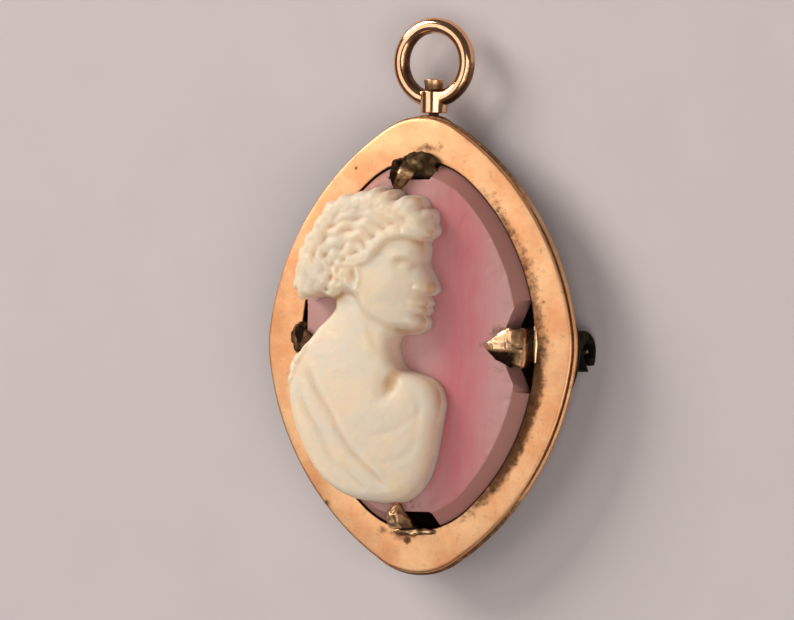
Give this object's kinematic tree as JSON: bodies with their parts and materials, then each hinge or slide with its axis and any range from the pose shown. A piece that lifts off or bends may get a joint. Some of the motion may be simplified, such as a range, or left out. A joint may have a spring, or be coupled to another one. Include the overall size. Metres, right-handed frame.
{
  "type": "cameo brooch pendant",
  "caption": "Cameo pendant: a carved two-layer shell held by claws in a pointed oval rose-gold band, with a swivel ring on top and a pin with a catch across the back.",
  "frame": {"origin": "centre of the bounding box in X and Y, on the surface that the pendant lies on", "axes": "+X to the wearer's left of the face as seen from the front (right in the view), +Y from the lower tip to the swivel ring, +Z out of the carved face"},
  "size_m": [0.0206, 0.0329, 0.007],
  "materials": {
    "rose_gold": "satin",
    "shell": "satin",
    "ring_gold": "polished",
    "pin_metal": "satin"
  },
  "bodies": {
    "pendant": {"setting": "rose_gold", "cameo": "shell", "brooch_pin": "pin_metal"},
    "ring": {"swivel_ring": "ring_gold"}
  },
  "joints": [
    {"name": "ring_swivel", "type": "hinge", "parent": "pendant", "child": "ring", "pos_m": [0, 0.01142, 0.0018], "axis": [0, 1, 0], "continuous": true}
  ]
}
